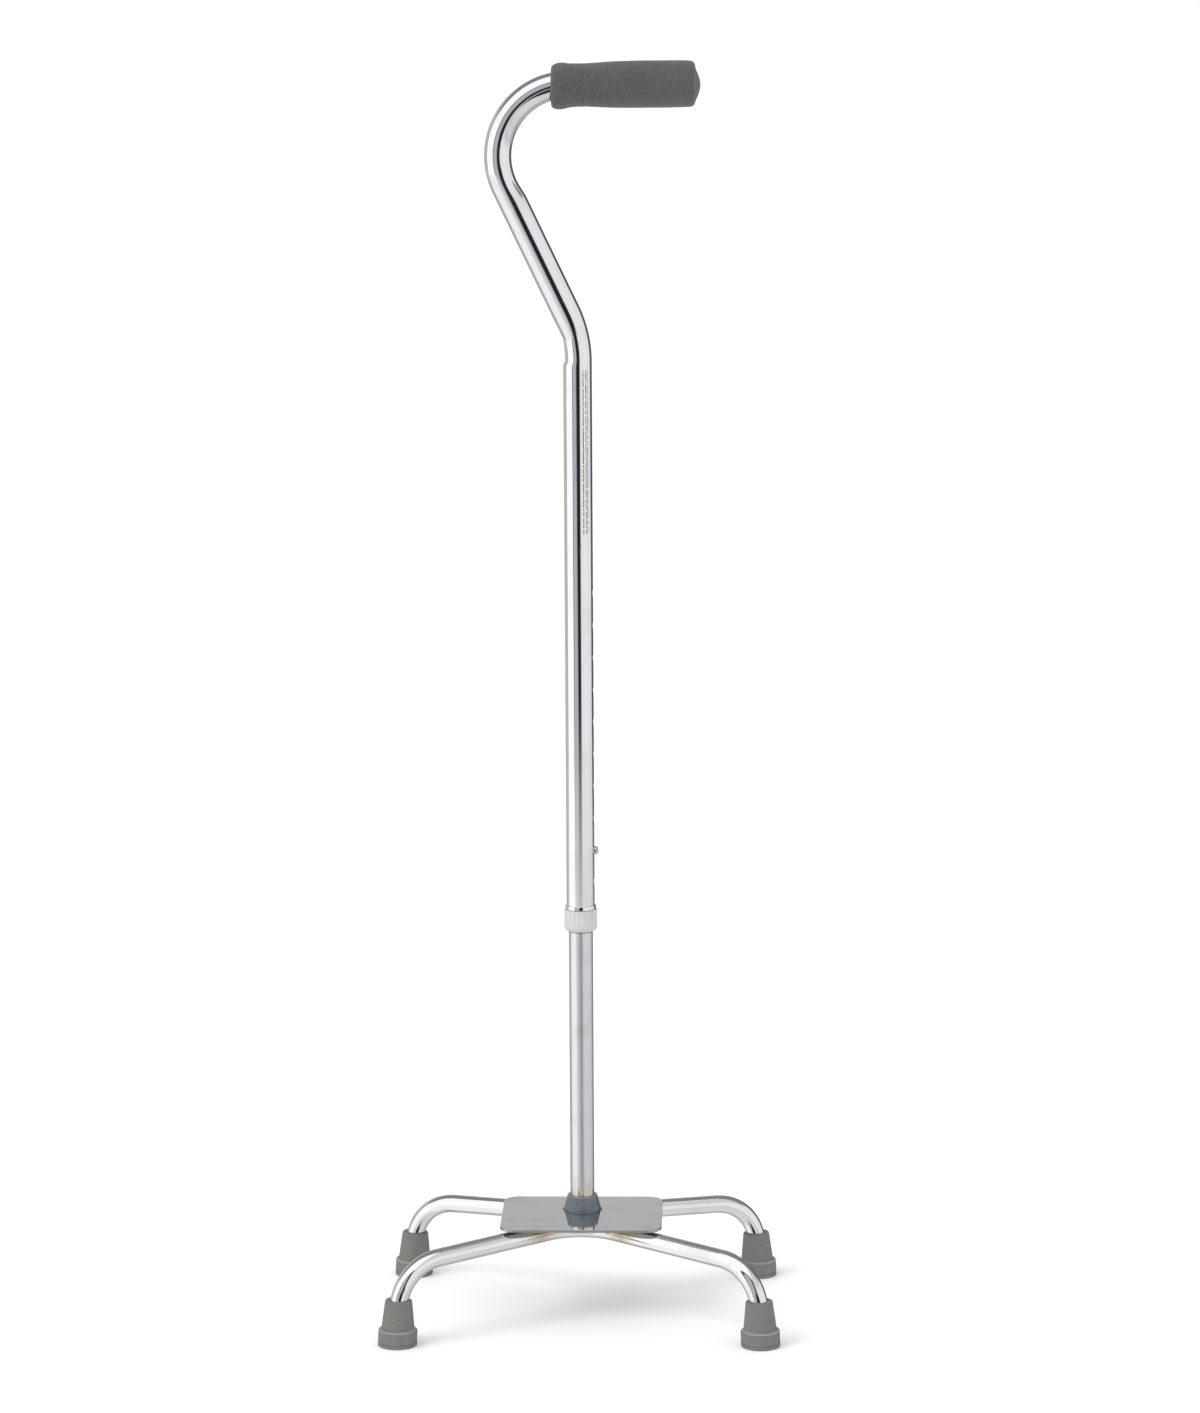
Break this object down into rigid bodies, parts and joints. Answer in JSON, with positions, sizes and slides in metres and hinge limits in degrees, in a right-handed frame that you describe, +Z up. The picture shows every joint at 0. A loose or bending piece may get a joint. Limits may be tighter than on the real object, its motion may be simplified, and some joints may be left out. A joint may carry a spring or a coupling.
{
  "type": "quad walking cane",
  "caption": "Height-adjustable walking cane with an offset swan-neck handle, foam grip, telescoping shaft and a plate base on splayed legs with rubber tips.",
  "frame": {"origin": "on the floor, at the centre of the rectangle of the four rubber tips", "axes": "+Z up along the shaft; +X the way the handle points; -Y the front of the base. The shaft stands 16.5 mm behind the origin."},
  "size_m": [0.3114, 0.2178, 0.98],
  "materials": {
    "chrome_tube": "bright chrome plating on steel tube",
    "satin_tube": "satin plated steel tube",
    "plate_chrome": "satin chrome plate, a little heat tint by the welds",
    "chrome_ring": "bright chrome",
    "weld": "weld metal under the plating",
    "zinc": "zinc-plated steel",
    "button_steel": "polished stainless steel",
    "spring_steel": "spring steel strip",
    "boot_plastic": "blue-grey moulded plastic",
    "black_plastic": "moulded plastic",
    "nylon": "natural white nylon, slightly translucent",
    "foam": "closed-cell foam, charcoal",
    "tip_rubber": "moulded grey rubber, matte"
  },
  "bodies": {
    "base": {"base_plate": "plate_chrome", "front_leg_tube": "chrome_tube", "rear_leg_tube": "chrome_tube", "weld_beads": "weld", "shaft_boot": "boot_plastic", "base_washer": "zinc", "lock_washer": "zinc", "base_bolt": "zinc", "tube_insert": "zinc", "lower_tube": "satin_tube", "button_spring": "spring_steel", "tip_front_left": "tip_rubber", "tip_washer_front_left": "zinc", "tip_front_right": "tip_rubber", "tip_washer_front_right": "zinc", "tip_rear_left": "tip_rubber", "tip_washer_rear_left": "zinc", "tip_rear_right": "tip_rubber", "tip_washer_rear_right": "zinc"},
    "upper": {"upper_tube": "chrome_tube", "foam_grip": "foam", "handle_end_plug": "black_plastic", "lock_ferrule": "chrome_ring"},
    "snap_button": {"snap_button": "button_steel"},
    "compression_ring": {"compression_ring": "nylon"},
    "lock_nut": {"lock_nut": "nylon"}
  },
  "joints": [
    {"name": "height_slide", "type": "slide", "parent": "base", "child": "upper", "axis": [0, 0, 1], "range_m": [-0.2032, 0.0254], "deforming": ["snap_button", "button_spring"]},
    {"name": "button_press", "type": "slide", "parent": "base", "child": "snap_button", "axis": [-1, 0, 0], "range_m": [0, 0.0046], "stiffness_N_per_m": 2500, "springref_m": -0.0015, "deforming": ["button_spring"]},
    {"name": "collar_travel", "type": "slide", "parent": "upper", "child": "compression_ring", "axis": [0, 0, -1], "range_m": [0, 0.0025]},
    {"name": "collar_turn", "type": "hinge", "parent": "compression_ring", "child": "lock_nut", "pos_m": [0, 0.0165, 0.311], "axis": [0, 0, -1], "range_deg": [0, 450]}
  ],
  "couplings": [
    {"joint": "collar_travel", "follows": "collar_turn", "m_per_rad": 0.000318}
  ]
}
